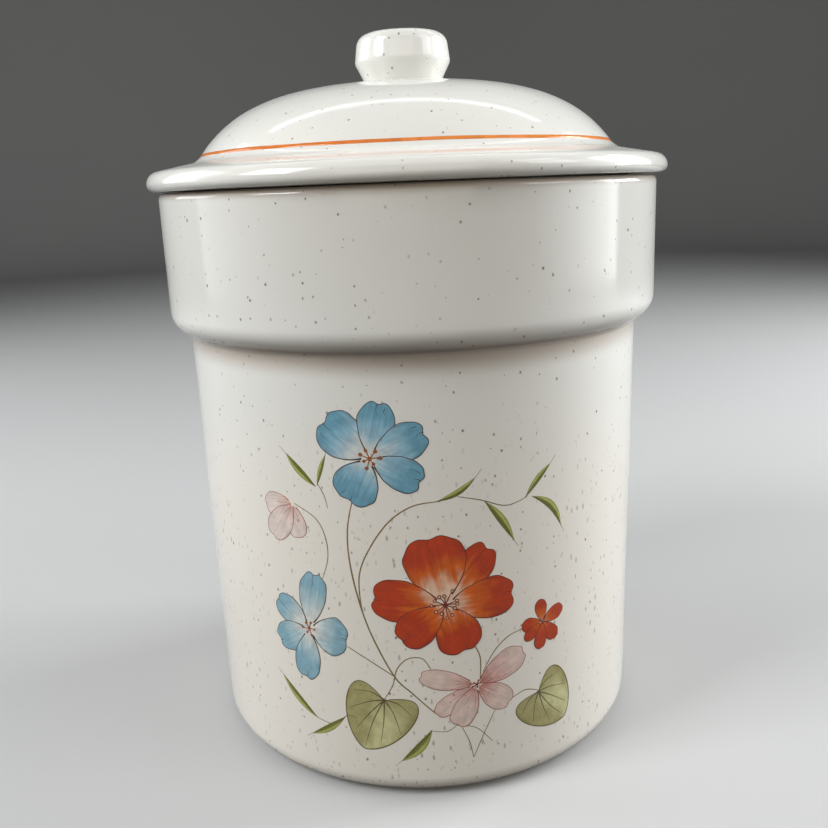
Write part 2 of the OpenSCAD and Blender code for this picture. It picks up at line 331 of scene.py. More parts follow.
def clay_material():
    """Bare buff stoneware, where the jar stands on its foot ring."""
    material, tree, shader, where = start_material("bare_clay")
    grain = noisy(tree, where, 900, 4)
    tone = mixed(tree, ranged(tree, grain, 0.3, 0.7), (0.42, 0.31, 0.20, 1), (0.60, 0.49, 0.35, 1))
    dark = specks(tree, where, 2.2, 0.4)
    tree.links.new(mixed(tree, dark, tone, (0.12, 0.08, 0.05, 1)), shader.inputs["Base Color"])
    tree.links.new(ranged(tree, grain, 0.2, 0.8, 0.75, 0.95), shader.inputs["Roughness"])
    bump = node(tree, "ShaderNodeBump", {"Height": grain, "Strength": 0.6, "Distance": 0.0002})
    tree.links.new(bump.outputs[0], shader.inputs["Normal"])
    return material


def seal_material():
    """Milky silicone with a slightly dusty skin."""
    material, tree, shader, where = start_material("seal_silicone", 1.41)
    shader.inputs["Subsurface Weight"].default_value = 0.3
    shader.inputs["Subsurface Radius"].default_value = (0.003, 0.003, 0.0025)
    haze = noisy(tree, where, 120, 3)
    tone = mixed(tree, haze, (0.80, 0.80, 0.76, 1), (0.72, 0.72, 0.69, 1))
    tree.links.new(tone, shader.inputs["Base Color"])
    tree.links.new(ranged(tree, haze, 0.3, 0.7, 0.30, 0.48), shader.inputs["Roughness"])
    bump = node(tree, "ShaderNodeBump", {"Height": haze, "Strength": 0.2, "Distance": 0.0001})
    tree.links.new(bump.outputs[0], shader.inputs["Normal"])
    return material


def painted_parts(tree):
    """The painted shape's own coordinates: along it, across it from -1 to 1, and its number."""
    paint = node(tree, "ShaderNodeAttribute", attribute_name="paint").outputs["Vector"]
    parts = node(tree, "ShaderNodeSeparateXYZ", {0: paint})
    return paint, *parts.outputs


def grey(tree, value):
    """value as a colour, to multiply by."""
    return node(tree, "ShaderNodeCombineColor", {0: value, 1: value, 2: value}).outputs[0]


def finish_paint(tree, shader, where, tone):
    """Lets the glaze's specks show through a painted tone, under the same glossy skin."""
    dark = specks(tree, where, SPECK_CELL, SPECK_SIZE, SPECK_STRETCH)
    speckled = mixed(tree, maths(tree, "MULTIPLY", dark, 0.5), tone, SPECK_DARK)
    tree.links.new(speckled, shader.inputs["Base Color"])
    shader.inputs["Specular IOR Level"].default_value = 0.3
    glaze_surface(tree, shader, where, dark)


def wash_material(name, base, middle, tip, base_to=0.3, tip_from=0.72):
    """A watercolour wash from a petal's base to its tip, with blooms and a pool of colour at its edge.
    Petals with a higher number are painted fuller."""
    material, tree, shader, where = start_material(name)
    paint, along, across, number = painted_parts(tree)
    brushed = node(tree, "ShaderNodeMapping", {"Vector": paint, "Scale": (1.6, 4.5, 11)}).outputs[0]
    bloom = maths(tree, "ADD", noisy(tree, where, 130, 2), noisy(tree, brushed, 1.0, 2))
    drift = maths(tree, "MULTIPLY", maths(tree, "SUBTRACT", bloom, 1.0), 0.5)
    fuller = maths(tree, "MULTIPLY", number, 0.045)
    shift = maths(tree, "ADD", along, maths(tree, "ADD", drift, fuller))
    half_way = (base_to + tip_from) / 2
    tone = mixed(tree, ranged(tree, shift, base_to - 0.16, half_way + 0.06), base, middle)
    tone = mixed(tree, ranged(tree, shift, half_way, tip_from + 0.15), tone, tip)
    fine_brush = node(tree, "ShaderNodeMapping", {"Vector": paint, "Scale": (2.0, 9.0, 11)}).outputs[0]
    streak = ranged(tree, noisy(tree, fine_brush, 1.0, 3), 0.3, 0.7, 0.9, 1.07)
    pool = ranged(tree, noisy(tree, where, 330, 2), 0.3, 0.7, 0.9, 1.07)
    edge = ranged(tree, maths(tree, "ABSOLUTE", across), 0.7, 1.0, 1.0, 0.84)
    shade = maths(tree, "MULTIPLY", maths(tree, "MULTIPLY", streak, pool), edge)
    finish_paint(tree, shader, where, mixed(tree, 1.0, tone, grey(tree, shade), "MULTIPLY"))
    return material


def leaf_material(name, light, deep, split):
    """Leaf green with a darker rim. split says how much darker one side of the midrib is."""
    material, tree, shader, where = start_material(name)
    _, along, across, _ = painted_parts(tree)
    cloud = noisy(tree, where, 160, 2)
    side = ranged(tree, maths(tree, "ADD", across, maths(tree, "SUBTRACT", cloud, 0.5)), -0.3, 0.2, 1.0, 0.0)
    rim = ranged(tree, maths(tree, "ABSOLUTE", across), 0.45, 1.0, 0.0, 0.9)
    base = ranged(tree, along, -0.1, 0.45, 0.7, 0.0)
    spread = maths(tree, "MAXIMUM", maths(tree, "MULTIPLY", side, split), maths(tree, "MAXIMUM", rim, base))
    tone = mixed(tree, spread, light, deep)
    mottle = ranged(tree, noisy(tree, where, 420, 3), 0.3, 0.7, 0.9, 1.07)
    finish_paint(tree, shader, where, mixed(tree, 1.0, tone, grey(tree, mottle), "MULTIPLY"))
    return material


def line_material(name, first, last, fade=0.12):
    """A brushed line whose colour runs from first to last along it, thinner in places by fade."""
    material, tree, shader, where = start_material(name)
    _, along, _, _ = painted_parts(tree)
    thin = ranged(tree, noisy(tree, where, 420, 2), 0.5, 0.8, 0.0, fade)
    tone = mixed(tree, thin, mixed(tree, along, first, last), GLAZE_CREAM)
    finish_paint(tree, shader, where, tone)
    return material


# --- Jar, lid, knob and band ----------------------------------------------------------------------------

def wall_r(z):
    """Outer radius of the plain wall at height z."""
    return WALL_FOOT_R + (WALL_TOP_R - WALL_FOOT_R) * (z - FOOT_STEP) / (COLLAR_Z - FOOT_STEP)


def make_jar(glaze, clay):
    """The jar, glazed but for the ring it stands on."""
    mouth_r = COLLAR_R - COLLAR_T
    ledge_z = COLLAR_Z + 4
    foot_r = WALL_FOOT_R - FOOT_INSET
    path = [
        (0, FLOOR_Z, 0),
        (WALL_FOOT_R - WALL_T, FLOOR_Z, 8),
        (WALL_TOP_R - WALL_T, ledge_z, 4),
        (mouth_r, ledge_z + (mouth_r - WALL_TOP_R + WALL_T) * COLLAR_SLOPE, 5),
        (mouth_r, RIM_Z, 1.6),
        (COLLAR_R, RIM_Z, 2.2),
        (COLLAR_R, COLLAR_Z + (COLLAR_R - WALL_TOP_R) * COLLAR_SLOPE, 7.3),
        (WALL_TOP_R, COLLAR_Z, 2),
        (WALL_FOOT_R, FOOT_STEP, 6.8),
        (foot_r, FOOT_STEP, 0),
        (foot_r - 0.3, 0, 0.4),
        (foot_r - FOOT_RING_W, 0, 0.8),
        (foot_r - FOOT_RING_W - 1.5, FOOT_RECESS, 2),
        (0, FOOT_RECESS, 0),
    ]
    verts, faces = turned(fine(rounded(path), False), False)
    jar = piece("glazed_jar", verts, faces, "canister", glaze, ["canister_body"])
    jar.data.materials.append(clay)
    for face in jar.data.polygons:
        reach = math.hypot(face.center.x, face.center.y) / MM
        if face.center.z < (FOOT_STEP + 0.1) * MM and reach < foot_r + 1.5:
            face.material_index = 1
    return jar


def dome_point(t, inset=0.0):
    """A point (r, z) of the dome at angle t in degrees."""
    a, b = DOME_A - inset, DOME_B - inset
    c, s = math.cos(math.radians(t)), math.sin(math.radians(t))
    return a * c ** (2 / DOME_POWER), DOME_MID_Z + b * s ** (2 / DOME_POWER)


def make_lid(glaze):
    """The lid: a hollow dome on a sloping flange, and the grooved skirt that drops into the jar's mouth."""
    steps, crown_t, inner_foot_t = 40, 87, 32   # points of each curve, and angles in degrees
    skirt_z = FLANGE_Z - SKIRT_H
    groove_low, groove_high = [skirt_z + side for side in SEAL_GROOVE]
    groove_r = SKIRT_R - SEAL_GROOVE_DEPTH
    flange_top = FLANGE_Z + FLANGE_T
    shares = [i / steps for i in range(steps + 1)]
    inside = [(*dome_point(crown_t + (inner_foot_t - crown_t) * k, DOME_T), 0) for k in shares]
    outside = [(*dome_point(DOME_FOOT_T + (crown_t - DOME_FOOT_T) * k ** 0.9), 0) for k in shares]
    foot_r = dome_point(DOME_FOOT_T - 4)[0]
    path = [
        (VENT_R, KNOB_LOW_Z - DOME_T, 0),
        *inside,
        (inside[-1][0] + 0.1, skirt_z, 1),
        (SKIRT_R, skirt_z, 1.2),
        (SKIRT_R, groove_low, 0.2),
        (groove_r, groove_low, 0),
        (groove_r, groove_high, 0),
        (SKIRT_R, groove_high, 0.2),
        (SKIRT_R, FLANGE_Z, 0.8),
        (FLANGE_R, FLANGE_Z, 2.4),
        (FLANGE_R, flange_top - FLANGE_EDGE * FLANGE_SLOPE, 4.2),
        (foot_r, flange_top + (FLANGE_R - FLANGE_EDGE - foot_r) * FLANGE_SLOPE, 3.5),
        *outside,
        (VENT_R, KNOB_LOW_Z, 0),
    ]
    verts, faces = turned(fine(rounded(path), True), True)
    return piece("glazed_lid", verts, faces, "lid", glaze, ["lid"])


def make_knob(glaze):
    """The hollow knob: it widens from its foot to a belly and draws in to a flat top."""
    knob_r, foot_r, wall = 16.3, 12.8, 4.2
    shoulder_r, belly_z = knob_r - 1.2, KNOB_LOW_Z + 7.1
    path = [
        (foot_r - 3.6, KNOB_LOW_Z - 0.3, 0),
        (foot_r + 0.5, KNOB_LOW_Z - 0.3, 0),
        (foot_r + 0.1, KNOB_LOW_Z + 0.5, 0.6),
        (knob_r, belly_z, 3),
        (shoulder_r, KNOB_TOP_Z - 1.1, 4.4),
        (0, KNOB_TOP_Z, 0),
        (0, KNOB_TOP_Z - wall, 0),
        (shoulder_r - wall, KNOB_TOP_Z - wall - 1, 2),
        (knob_r - wall, belly_z, 1.5),
    ]
    verts, faces = turned(fine(rounded(path), True, 1.5), True)
    return piece("glazed_knob", verts, faces, "lid", glaze, ["lid_knob"])


def make_band(material):
    """The hand-banded line round the foot of the dome, a little uneven in width."""
    low = Vector(dome_point(DOME_FOOT_T))
    along = (Vector(dome_point(DOME_FOOT_T + 1)) - low).normalized()
    out = Vector((along.y, -along.x))
    start = low + along * 0.15
    verts, faces, paint = [], [], []
    # Each row of points: its share of the band's width, and its lift off the glaze.
    rows = [(0, ENAMEL_EDGE), (0.12, 0.04), (0.5, 0.05), (0.88, 0.04), (1, ENAMEL_EDGE), (0.5, -0.08)]
    for k in range(SEGMENTS):
        a = 2 * math.pi * k / SEGMENTS
        way = Vector((math.sin(a), -math.cos(a), 0))
        width = BAND_W + 0.18 * noise.noise(way * 3)
        drift = 0.12 * noise.noise(way * 2 + Vector((5, 5, 5)))
        for share, lift in rows:
            flat = start + along * (width * share + drift)
            true = way * flat.x + Vector((0, 0, flat.y))
            normal = way * out.x + Vector((0, 0, out.y))
            verts.append(true + normal * (lift - dip(true)))
            paint.append((k / SEGMENTS, share * 2 - 1, 0))
    n = len(rows)
    for k in range(SEGMENTS):
        m = (k + 1) % SEGMENTS
        for j in range(n):
            faces.append((k * n + j, k * n + (j + 1) % n, m * n + (j + 1) % n, m * n + j))
    return piece("painted_band", verts, faces, "lid", material, ["lid_band"], paint, 60)


# --- Painting on the wall -----------------------------------------------------------------------------
# s runs round the wall to the right from the front and z is height, both in millimetres.

WALL_MID_R = wall_r((PAINT_LOW + PAINT_HIGH) / 2)


def on_wall(s, z, lift):
    """The point of the glazed wall at (s, z), lifted off it."""
    r = wall_r(z)
    angle = math.asin(WALL_MID_R * math.sin(s / WALL_MID_R) / r)
    out = Vector((math.sin(angle), -math.cos(angle), 0))
    true = out * r + Vector((0, 0, z))
    return true + out * (lift - dip(true))


def smooth(path, n=6):
    """Points of the smooth curve through a path's points."""
    knots = [Vector(p) for p in path]
    last = len(knots) - 1
    out = []
    for i in range(last):
        p0, p1, p2, p3 = knots[max(i - 1, 0)], knots[i], knots[i + 1], knots[min(i + 2, last)]
        for k in range(n):
            t = k / n
            out.append(0.5 * (2 * p1 + (p2 - p0) * t + (2 * p0 - 5 * p1 + 4 * p2 - p3) * t ** 2
                              + (3 * p1 - p0 - 3 * p2 + p3) * t ** 3))
    return out + [knots[last]]


def placed(points, centre, angle):
    """Local (along, across) points put at centre and turned by angle in degrees."""
    c, s = math.cos(math.radians(angle)), math.sin(math.radians(angle))
    return [Vector((centre[0] + x * c - y * s, centre[1] + x * s + y * c)) for x, y in points]


class Painting:
    """Gathers painted shapes of one material on the wall, as thin closed solids, into one mesh."""

    RINGS = (0.2, 0.4, 0.56, 0.7, 0.81, 0.9, 0.96, 1.0)   # shares of the way from middle to edge
    ROWS = (-1.0, -0.7, 0.0, 0.7, 1.0)                    # places across a stroke
    DOT_POINTS = 14
    BACK = ENAMEL_EDGE - 0.05                             # lift of the hidden back, under the glaze

    def __init__(self):
        self.verts, self.faces, self.paint = [], [], []

    def point(self, p, lift, paint):
        """Adds a point at p on the wall and gives its number."""
        self.verts.append(on_wall(p[0], p[1], lift))
        self.paint.append(paint)
        return len(self.verts) - 1

    def patch(self, outline, middle, centre, angle, lift, size, tag):
        """A filled shape. outline and middle are local, and size is its (length, half width)."""
        def at(q, level):
            paint = (q[0] / size[0], q[1] / size[1], tag)
            return self.point(placed([q], centre, angle)[0], level, paint)

        hub = at(middle, lift)
        under = at(middle, self.BACK)
        rings = []
        for share in self.RINGS:
            level = ENAMEL_EDGE if share == 1 else lift
            rings.append([at([m + (q - m) * share for m, q in zip(middle, p)], level) for p in outline])
        n = len(outline)
        for k in range(n):
            m = (k + 1) % n
            self.faces.append((hub, rings[0][k], rings[0][m]))
            self.faces.append((under, rings[-1][m], rings[-1][k]))
            for inner, outer in zip(rings, rings[1:]):
                self.faces.append((inner[k], outer[k], outer[m], inner[m]))

    def stroke(self, points, width, lift, tag=0.0):
        """A brush stroke along points. width is a function of the share of the way along."""
        last = len(points) - 1
        rows = []
        for i, p in enumerate(points):
            d = (points[min(i + 1, last)] - points[max(i - 1, 0)]).normalized()
            side = Vector((-d.y, d.x)) * width(i / last) / 2
            row = []
            for v in self.ROWS:
                level = ENAMEL_EDGE if abs(v) == 1 else lift
                row.append(self.point(p + side * v, level, (i / last, v, tag)))
            row.append(self.point(p, self.BACK, (i / last, 0, tag)))
            rows.append(row)
        n = len(rows[0])
        for a, b in zip(rows, rows[1:]):
            for k in range(n):
                m = (k + 1) % n
                self.faces.append((a[k], a[m], b[m], b[k]))
        self.faces.append(tuple(reversed(rows[0])))
        self.faces.append(tuple(rows[-1]))

    def dot(self, centre, radius, lift, tag=0.0):
        """A round spot."""
        turns = [2 * math.pi * k / self.DOT_POINTS for k in range(self.DOT_POINTS)]
        rim = [(radius * math.cos(t), radius * math.sin(t)) for t in turns]
        self.patch(rim, (0, 0), centre, 0, lift, (radius, radius), tag)

    def build(self, name, material, slot, replaces=()):
        """Makes the piece from all that was painted."""
        return piece(name, self.verts, self.faces, "canister", material, replaces, self.paint, 60)


PETAL_POINTS = 64


def petal_outline(length, half_w, notch, seed):
    """A rounded petal along +X from the flower's middle, with a shallow notch in its tip."""
    out = []
    for i in range(PETAL_POINTS):
        t = 2 * math.pi * i / PETAL_POINTS
        u = (1 - math.cos(t)) / 2
        y = half_w * 1.22 * math.sin(t) * u ** 0.35
        wave = noise.noise(Vector((2.2 * math.cos(t), 2.2 * math.sin(t), seed)))
        dent = notch * math.exp(-(y / (0.28 * half_w)) ** 2) * u ** 4
        x = length * (0.05 + 0.95 * u) * (1 - dent + 0.03 * u * wave)
        out.append((x, y * (1 + 0.07 * wave)))
    return out


def heart_outline(length, half_w):
    """A heart-shaped leaf along +X from the notch where its stalk joins."""
    out = []
    for i in range(PETAL_POINTS):
        t = 2 * math.pi * i / PETAL_POINTS
        u = (1 - math.cos(t)) / 2
        side = 1 if t < math.pi else -1
        x = length * (u ** 1.6 - 0.7 * math.sqrt(u) * (1 - u) ** 2)
        out.append((x, half_w * 2.2 * math.sqrt(u) * (1 - u) ** 0.66 * side))
    return out


def swelling(middle, ends=0.3):
    """A stroke width that swells from its ends, as a share of middle, to its middle."""
    return lambda t: middle * (ends + (1 - ends) * math.sin(math.pi * t) ** 0.7)


def tapering(first, last):
    """A stroke width that runs evenly from first to last."""
    return lambda t: first + (last - first) * t


def inked(thin):
    """A petal's outline: thin round the tip, and leaned on at both ends, near the flower's middle."""
    return lambda t: thin * (0.75 + 1.1 * abs(2 * t - 1) ** 7)


# Each flower: its middle, then [angle, length, half width] of each petal, back to front.
FLOWERS = {
    "large_blue": ((-14, 114), [(142, 18, 7.2), (78, 17.5, 5.4), (25, 18.5, 5.6), (-119, 15.5, 7),
                                (-27, 17, 5.2)]),
    "small_blue": ((-37.5, 57), [(146, 14.5, 4.6), (80, 20, 4.8), (-10, 13.5, 6.6), (209, 14.5, 5),
                                 (262, 18.5, 4.7)]),
    "large_orange": ((6.5, 67.5), [(52, 22.5, 6), (101, 23, 9.4), (3, 22, 6.8), (173, 23, 6.8),
                                   (-70, 17.5, 7.2), (-140, 18.5, 6)]),
    "small_orange": ((38.5, 55.8), [(97, 8, 2.2), (22, 8.6, 2.5), (178, 7.6, 2.4), (215, 8, 2),
                                    (-52, 8.6, 2.5), (-98, 9.2, 2.2)]),
    "pink": ((15.5, 39.5), [(28, 18.5, 4.6), (-38, 14, 4.4), (166, 18.5, 3.4), (-145, 16, 3.2),
                            (-115, 15.5, 4)]),
    "pink_bud": ((-40, 98), [(190, 11.5, 4), (275, 11, 3.6), (232, 15, 4.6)]),
}
# How deep the notch in each flower's petal tips is, as a share of the petal's length.
NOTCH = {"large_blue": 0.07, "small_blue": 0.05, "large_orange": 0.06, "small_orange": 0.0, "pink": 0.04,
         "pink_bud": 0.03}
BASE_LIFT = 0.03     # mm from the glaze to the lowest petal
LAYER = 0.012        # mm from one petal up to the next
LINE_LIFT = 0.006    # mm from a wash up to the line drawn on it
STEM_LIFT, STEM_LAYER = 0.02, 0.001   # the same for the lowest stem, and from one stem up to the next
STAMEN_LIFT, ANTHER_LIFT, CENTRE_LIFT, EYE_LIFT = 0.115, 0.12, 0.125, 0.13   # mm, over all petals


def base_creases(length, half_w, count, k):
    """Fine lines fanned out from a petal's base."""
    creases = []
    for j in range(count):
        fan = (j - (count - 1) / 2) * 0.32
        reach = 0.42 + 0.14 * math.cos(3 * j + k)
        creases.append([(0.1 * length, fan * 0.2 * half_w), (0.25 * length, fan * 0.7 * half_w),
                        (reach * length, fan * 1.6 * half_w)])
    return creases


def tip_creases(length, half_w, count, k):
    """Short folds that run in from a petal's tip."""
    creases = []
    for j in range(count):
        y = half_w * (0.42 * j * (-1) ** k + 0.04)
        start = length * (0.95 - 0.06 * j)
        reach = length * (0.16 + 0.05 * math.cos(2 * j + k))
        creases.append([(start, y), (start - 0.5 * reach, y + 0.06 * half_w),
                        (start - reach, y - 0.02 * half_w)])
    return creases


def paint_flower(name, wash, line, slot, line_w, creases, count):
    """Petals in one piece, and their drawn outlines and creases in another."""
    centre, petals = FLOWERS[name]
    fills, lines = Painting(), Painting()
    for k, (angle, length, half_w) in enumerate(petals):
        outline = petal_outline(length, half_w, NOTCH[name], k * 3.7 + length)
        lift = BASE_LIFT + LAYER * k
        fills.patch(outline, (0.62 * length, 0), centre, angle, lift, (length, half_w), k)
        cut = PETAL_POINTS // 12   # the drawn outline is left open at the petal's base
        lines.stroke(placed(outline[cut:-cut], centre, angle), inked(line_w), lift + LINE_LIFT, k)
        for crease in creases(length, half_w, count, k):
            width = tapering(0.8 * line_w, 0.1)
            lines.stroke(smooth(placed(crease, centre, angle)), width, lift + LINE_LIFT, k)
    node_name = name if name == "pink_bud" else name + "_flower"
    fills.build(name + "_petals", wash, slot, [node_name])
    lines.build(name + "_outlines", line, slot)


def paint_stamens(name, centre, count, reach, head_r, material, slot, eyes=None):
    """Filaments fanned round a flower's middle, each with a round anther, which may have a pale eye."""
    stamens, pale = Painting(), Painting()
    for k in range(count):
        angle = 2 * math.pi * k / count + 0.5 * noise.noise(Vector((k * 1.7, reach, 0)))
        far = reach * (1 + 0.6 * noise.noise(Vector((0.3, k * 2.3, reach))))
        head = head_r * (0.92 + 0.3 * noise.noise(Vector((k * 3.1, 0.4, reach))))
        tip = Vector(centre) + Vector((math.cos(angle), math.sin(angle))) * far
        bend = Vector(centre).lerp(tip, 0.5) + Vector((0.12 * math.sin(5 * k), 0.12 * math.cos(3 * k)))
        stamens.stroke(smooth([centre, bend, tip]), tapering(0.42, 0.3), STAMEN_LIFT, k)
        stamens.dot(tip, head, ANTHER_LIFT, k)
        pale.dot(tip, head * 0.5, EYE_LIFT, k)
    stamens.dot(centre, head_r, CENTRE_LIFT)
    stamens.build(name, material, slot)
    if eyes:
        pale.build(name + "_eyes", eyes, slot)


# Veins of a broad leaf, fanned out from its stalk, in shares of its length and half width.
LEAF_VEINS = [
    [(0, 0), (0.45, -0.06), (0.97, 0.0)],
    [(0, 0), (-0.02, 0.4), (0.1, 0.84)],
    [(0, 0), (0.18, 0.38), (0.48, 0.76)],
    [(0, 0), (0.36, 0.2), (0.78, 0.36)],
    [(0, 0), (-0.04, -0.4), (0.06, -0.86)],
    [(0, 0), (0.16, -0.4), (0.42, -0.8)],
    [(0, 0), (0.36, -0.24), (0.74, -0.42)],
]


def paint_leaf(name, centre, angle, length, half_w, leaf, line):
    """A heart-shaped leaf, and its edge and veins in another piece."""
    fill, lines = Painting(), Painting()
    outline = heart_outline(length, half_w)
    fill.patch(outline, (0.38 * length, 0), centre, angle, BASE_LIFT, (length, half_w), 0)
    fill.build(name + "_wash", leaf, "leaf_enamel", [name])
    edge = outline[1:] + outline[:1]
    lines.stroke(placed(edge[:-1], centre, angle), swelling(0.46, 0.6), BASE_LIFT + LINE_LIFT)
    for k, vein in enumerate(LEAF_VEINS):
        local = [(x * length, y * half_w) for x, y in vein]
        lines.stroke(smooth(placed(local, centre, angle)), tapering(0.66, 0.16), BASE_LIFT + LINE_LIFT, k)
    lines.build(name + "_veins", line, "leaf_enamel")


# Narrow leaves: from, to, half width, sideways bow.
BLADES = [
    ((-31.5, 104.5), (-41.5, 114), 1.3, 0.5), ((-30.9, 105), (-27.6, 114.6), 0.8, 0.3),
    ((5, 100.6), (16.5, 107), 1, -1), ((19.2, 99.2), (28.4, 85.6), 1.4, 0.8),
    ((32.4, 98.4), (41.6, 107.6), 1.1, 0.5), ((34.8, 98.3), (45.8, 86.6), 1.4, 2.2),
    ((-36.8, 25.2), (-50.2, 37.4), 1.4, 0.8), ((-26.8, 27.8), (-39.4, 18.8), 1.3, 0.8),
    ((1, 25), (-8.8, 14), 1.7, 1.2),
]


def paint_blades(leaf, line):
    """The narrow leaves, and in another piece their midribs, which run out into fine tips."""
    fills, ribs = Painting(), Painting()
    for k, (a, b, half_w, bow) in enumerate(BLADES):
        a, b = Vector(a), Vector(b)
        d = b - a
        side = Vector((-d.y, d.x)).normalized()
        n = 18
        spine = [a + d * i / n + side * bow * math.sin(math.pi * i / n) for i in range(n + 1)]
        fills.stroke(spine, lambda t, w=half_w: 0.08 + 2 * w * math.sin(math.pi * t) ** 0.9, BASE_LIFT, k)
        ribs.stroke(spine, tapering(0.36, 0.12), BASE_LIFT + LINE_LIFT, k)
        tip = spine[-1] + (spine[-1] - spine[-2]).normalized() * 3.0 + side * 0.5
        ribs.stroke(smooth([spine[-2], spine[-1], tip]), tapering(0.3, 0.08), BASE_LIFT + 0.004, k)
    fills.build("narrow_leaf_strokes", leaf, "leaf_enamel", ["narrow_leaves"])
    ribs.build("narrow_leaf_ribs", line, "leaf_enamel")


# Stems: the points each one passes through, and its width.
STEMS = [
    ([(-20, 101), (-22, 92), (-22, 82), (-20, 70), (-16.5, 58), (-10, 44), (-4.5, 38), (2.4, 30.8)], 0.62),
    ([(6, 100.6), (-2, 99.5), (-9, 95), (-15, 87), (-19, 78), (-19.2, 68), (-17.6, 61)], 0.53),
    ([(11, 101.6), (18, 99.8), (26, 97), (33, 98.6)], 0.38),
    ([(-39.6, 98.2), (-32.5, 94.5), (-29.5, 89), (-29, 82), (-31.4, 74.6)], 0.38),
    ([(-24.4, 53), (-17, 48.6), (-9.5, 43.6)], 0.45),
    ([(-13.4, 35.8), (-10.5, 41), (-9, 46.5), (-5.5, 50), (-1, 49.9), (1.6, 45.6)], 0.43),
    ([(14.6, 54), (16.8, 48.6), (16.6, 41)], 0.45),
    ([(31.4, 55.6), (26, 54), (21.4, 50), (17.6, 43.6)], 0.4),
    ([(36.6, 32.4), (32, 33.9), (27.4, 32.4)], 0.38),
    ([(-30.8, 105.4), (-28.8, 101.8), (-28, 98)], 0.33),
    ([(-27, 28), (-24.8, 28.6), (-22.6, 28)], 0.3),
    ([(-37, 25.4), (-32, 24.4), (-28, 27)], 0.3),
    ([(0.6, 24.8), (5.6, 24.2), (9, 26.2)], 0.28),
    ([(9, 26), (15, 24.4), (20.4, 18.4)], 0.28),
    ([(21.4, 29.6), (17.6, 22), (14, 13.8)], 0.3),
    ([(10.4, 25.4), (12.8, 19.6), (14, 13.8)], 0.3),
]


def paint_stems(material):
    """All the stems, each a touch higher than the one before so that crossings stay clean."""
    strokes = Painting()
    for k, (path, width) in enumerate(STEMS):
        strokes.stroke(smooth(path), swelling(width, 0.6), STEM_LIFT + STEM_LAYER * k, k)
    strokes.build("painted_stems", material, "stem_enamel", ["stems"])


# --- Camera, floor and light --------------------------------------------------------------------------

def make_camera():
    """The viewpoint: 0.32 m in front of the jar's axis, level with the rim, looking 14 degrees down."""
    forward = Vector((-0.00268, 0.96840, -0.24938)).normalized()
    right = forward.cross(Vector((0, 0, 1))).normalized()
    up = right.cross(forward)
    roll = math.radians(2.294)
    cam_right = right * math.cos(roll) - up * math.sin(roll)
    cam_up = right * math.sin(roll) + up * math.cos(roll)
    data = bpy.data.cameras.new("camera")
    data.sensor_width = 36
    data.lens = 38.01
    data.clip_start = 0.01
    camera = bpy.data.objects.new("camera", data)
    camera.matrix_world = Matrix((cam_right, cam_up, -forward)).transposed().to_4x4()
    camera.location = (0, -0.3158, 0.1884)
    bpy.context.scene.collection.objects.link(camera)
    bpy.context.scene.camera = camera


def make_studio():
    """A round pale floor that curves up into a wall on all sides."""
    floor_r, bend_r, top_z, segments = 2.2, 0.9, 2.2, 96
    profile = [(0.0, 0.0), (0.6, 0.0), (floor_r, 0.0)]
    for i in range(1, 13):
        a = math.radians(90 * i / 12)
        profile.append((floor_r + bend_r * math.sin(a), bend_r * (1 - math.cos(a))))
    profile.append((floor_r + bend_r, top_z))
    mesh = bpy.data.meshes.new("studio_floor")
    work = bmesh.new()
    rings = []
    for r, z in profile:
        count = segments if r else 1
        rings.append([work.verts.new((r * math.cos(2 * math.pi * k / segments),
                                      r * math.sin(2 * math.pi * k / segments), z)) for k in range(count)])
    for a, b in zip(rings, rings[1:]):
        for k in range(segments):
            m = (k + 1) % segments
            work.faces.new((a[0], b[k], b[m]) if len(a) == 1 else (a[k], b[k], b[m], a[m]))
    work.to_mesh(mesh)
    work.free()
    mesh.shade_smooth()
    material, tree, shader, where = start_material("pale_floor", 1.4)
    tone = mixed(tree, noisy(tree, where, 3, 2), (0.50, 0.505, 0.51, 1), (0.53, 0.53, 0.525, 1))
    tree.links.new(tone, shader.inputs["Base Color"])
    shader.inputs["Roughness"].default_value = 0.65
    mesh.materials.append(material)
    floor = bpy.data.objects.new("studio_floor", mesh)
    bpy.context.scene.collection.objects.link(floor)
    floor.visible_diffuse = False   # pale to the eye, but it throws no light up under the collar


DAYLIGHT = (0.97, 0.99, 1.0)


def softbox(name, place, width, height, power, colour=DAYLIGHT, columns=1, rows=1, pane=1.0, fade=0.0):
    """A rectangular light aimed at the middle of the jar, made of columns by rows of panes.
    pane is the share of its place that each one fills, and fade takes power from one side to the other."""
    aim = (Vector((0, 0, 0.13)) - Vector(place)).to_track_quat("-Z", "Y")
    for i in range(columns):
        side = (2 * i + 1) / columns - 1
        for j in range(rows):
            data = bpy.data.lights.new(f"{name}_{i}{j}", "AREA")
            data.shape = "RECTANGLE"
            data.size, data.size_y = width / columns * pane, height / rows * pane
            data.energy = power / (columns * rows) * (1 + fade * side)
            data.color = colour
            light = bpy.data.objects.new(data.name, data)
            up = height * ((j + 0.5) / rows - 0.5)
            light.location = Vector(place) + aim @ Vector((side * width / 2, up, 0))
            light.rotation_euler = aim.to_euler()
            bpy.context.scene.collection.objects.link(light)


